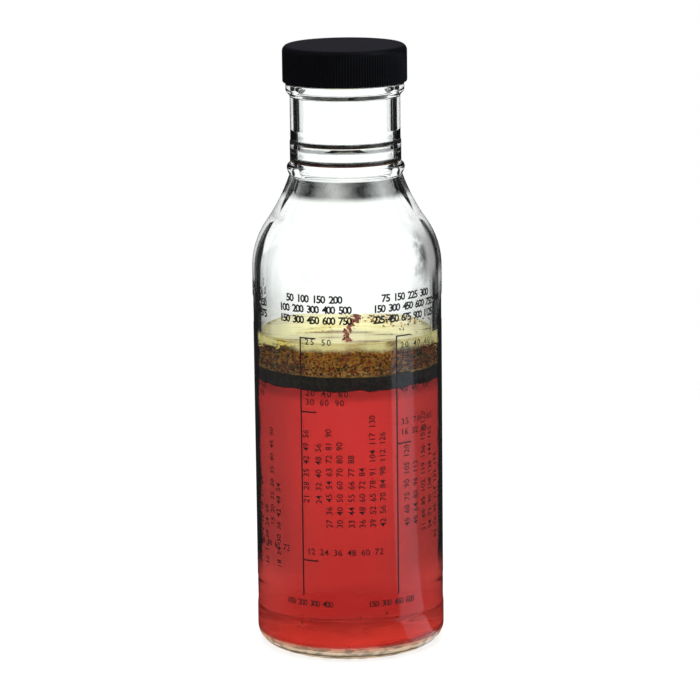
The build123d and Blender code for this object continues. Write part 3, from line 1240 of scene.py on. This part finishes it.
herb_finish, tree = material("soaked_herbs")
grain = tree.noise(leaf_lump, 5)
leaf = tree.mix(tree.step(grain, 0.4, 0.62), colour(20, 17, 15), colour(50, 40, 30))
husk = tree.mix(tree.step(tree.noise(husk_lump), 0.4, 0.6), colour(140, 96, 45), colour(215, 165, 85))
leaf = tree.mix(tree.step(tree.along("Z"), herb_level - husk_depth, herb_level), leaf, husk)
tree.finish(Surface=tree.skin(leaf, 0.75, Normal=tree.bumps(grain, 0.5, leaf_bump)))
coat(herbs, herb_finish)

# %% Flake finish
dust_lump = 0.4

flake_finish, tree = material("spice_flakes")
shade = tree.node("Attribute", {"attribute_name": "flake_shade"}, None, "Color")
speckled = tree.mix(tree.noise(dust_lump, 2) * 0.35, shade, colour(60, 30, 18))
tree.finish(Surface=tree.skin(speckled, 0.55, Specular_IOR_Level=0.15))
coat(flakes, flake_finish)

# %% [markdown]
# ## Print, plastic and foam
# The enamel print is fired onto the glass and is glossy and black, a little uneven where it was
# squeezed through the screen. The cap's plastic has a fine spark-eroded grain that takes its shine
# away, and its top is painted lighter, as light from above would make it. The liner is a pale foam
# disc under the cap.

# %% Enamel finish
enamel_lump = 0.9

enamel, tree = material("black_enamel")
shade = tree.mix(tree.noise(enamel_lump), colour(16, 15, 15), colour(40, 38, 38))
tree.finish(Surface=tree.skin(shade, 0.38))
coat(figures_mesh, enamel)
coat(nodes["printed_scales"], enamel)

# %% Cap finish
cap_top_depth = 0.8
cap_shade_lump = 6
cap_gloss_lump = 4
spark_lump = 0.35
spark_bump = 0.05

cap_plastic, tree = material("cap_plastic")
grain = tree.noise(spark_lump, 2)
shade = tree.mix(tree.noise(cap_shade_lump), colour(7, 8, 12), colour(14, 14, 18))
# Painted light: the top of the cap is coloured lighter, as light from above would make it.
painted_top_light = tree.step(tree.along("Z"), cap_top - cap_top_depth, cap_top)
shade = tree.mix(painted_top_light, shade, colour(36, 35, 41))
gloss = 0.36 + 0.12 * tree.noise(cap_gloss_lump)
spark_grain = tree.bumps(grain, 0.25, spark_bump)
tree.finish(Surface=tree.skin(shade, gloss, Specular_IOR_Level=0.16, Normal=spark_grain))
coat(cap, cap_plastic)

# %% Liner finish
cell_size = 0.5
cell_bump = 0.1

liner_foam, tree = material("liner_foam")
cells = tree.noise(cell_size)
shade = tree.mix(cells, colour(228, 227, 220), colour(206, 204, 196))
tree.finish(Surface=tree.skin(shade, 0.8, Normal=tree.bumps(cells, 0.4, cell_bump)))
coat(nodes["cap_liner"], liner_foam)

# %% [markdown]
# ## The studio
# Product glass is photographed on a bright field with dark boards beside it: light that goes
# straight through stays white, and light that is turned aside at an edge finds a dark board, which
# draws the black lines. Here one function gives the brightness along a ray. The boards repeat every
# quarter turn, so the bottle looks alike from all sides. The world uses it for directions, and the
# floor for places, because far off the two are alike.

# %% Brightness of the studio
board_near = (18, 23)
board_far = (42, 47)
board_lean = 75
sky_from = (0.25, 0.45)
ground_from = (0.4, 0.6)
level_blur = 0.05
strip_near = (94, 97)
strip_far = (126, 129)
white = (1, 1, 1, 1)
bright = (1.25, 1.25, 1.25, 1)
soft_grey = (0.6, 0.6, 0.6, 1)
ground_grey = (0.25, 0.25, 0.25, 1)
board_black = (0.02, 0.02, 0.022, 1)
strip_blue = (0.75, 0.85, 1.0, 1)


def screens(tree, place):
    """The colour of the studio along a ray, by the kind of ray and where it goes."""
    ray = tree.node("LightPath")
    place = tree.node("SeparateXYZ", None, {"Vector": place})
    turn = tree.maths("ARCTAN2", place, place.other("Y")) * math.degrees(1)
    up = place.other("Z")
    quarter = tree.maths("PINGPONG", turn, 45)
    board = tree.step(quarter, *board_near)
    board = board * (1 - tree.step(quarter + up * board_lean, *board_far))
    turned_twice = (ray.other("Glossy Depth") > 1.5) * tree.step(up, -level_blur, level_blur)
    board = tree.largest(board, turned_twice)
    turned_inside = tree.mix(board, bright, board_black)
    straight = tree.mix(tree.step(up, *sky_from), bright, board_black)
    straight = tree.mix(tree.step(-1 * up, *ground_from), straight, ground_grey)
    straight = tree.mix(ray.other("Diffuse Depth") > 0.5, straight, bright)
    strip = tree.step(turn, *strip_near) * (1 - tree.step(turn, *strip_far))
    mirrored = tree.mix(strip, board_black, strip_blue)
    seen = tree.mix(ray.other("Glossy Depth") > 0.5, straight, turned_inside)
    seen = tree.mix(ray.other("Is Glossy Ray") * ray.other("Is Reflection Ray"), seen, mirrored)
    seen = tree.mix(ray.other("Is Diffuse Ray"), seen, soft_grey)
    return tree.mix(ray.other("Is Camera Ray"), seen, white)


# %% World
world = bpy.data.worlds.new("studio")
bpy.context.scene.world = world
tree = Tree(world)
direction = tree.node("TexCoord", None, None, "Generated")
tree.finish("OutputWorld", Surface=tree.node("Background", None, {"Color": screens(tree, direction)}))

# %% Floor
floor_size = 4000
shadow_share = 0.25
floor_albedo = 0.36
shadow_reach = (0.12, 0.42)
floor = mesh_object(
    "floor",
    [(x * floor_size, y * floor_size, 0) for x, y in ((-1, -1), (1, -1), (1, 1), (-1, 1))],
    [(0, 1, 2, 3)],
    smooth=False,
)
floor_finish, tree = material("studio_floor")
place = tree.node("NewGeometry", None, None, "Position")
distance = tree.node("VectorMath", {"operation": "LENGTH"}, {0: place}, "Value")
near = 1 - tree.step(distance, *shadow_reach)
glow = tree.node(
    "Emission", None, {"Color": screens(tree, place), "Strength": 1 - near * shadow_share}
)
mirrored = tree.node("LightPath", None, None, "Is Reflection Ray")
share = near * floor_albedo * (1 - mirrored)
matt_colour = tree.mix(share, (0, 0, 0, 1), (1, 1, 1, 1))
matt = tree.node("BsdfDiffuse", None, {"Color": matt_colour})
tree.finish(Surface=tree.node("AddShader", None, {0: glow, 1: matt}))
coat(floor, floor_finish)

# %% A soft lamp that the glass doesn't mirror
lamp_place = (0, -200, 900)
lamp_target = (0, 0, 100)
lamp_width = 700
lamp_power = 5.5
light = bpy.data.lights.new("top_lamp", "AREA")
light.shape = "SQUARE"
light.size = lamp_width * MM
light.energy = lamp_power
lamp = bpy.data.objects.new("top_lamp", light)
bpy.context.collection.objects.link(lamp)
lamp.location = Vector(lamp_place) * MM
lamp.rotation_euler = (Vector(lamp_target) - Vector(lamp_place)).to_track_quat("-Z", "Y").to_euler()
lamp.visible_glossy = False
lamp.visible_transmission = False

# %% [markdown]
# ## Finish
# Light crosses many skins of glass and liquid before it reaches the white behind, so the number of
# bounces is raised.

# %% Render settings
scene = bpy.context.scene
scene.view_settings.view_transform = "Standard"
scene.cycles.max_bounces = 24
scene.cycles.transmission_bounces = 20
scene.cycles.glossy_bounces = 8
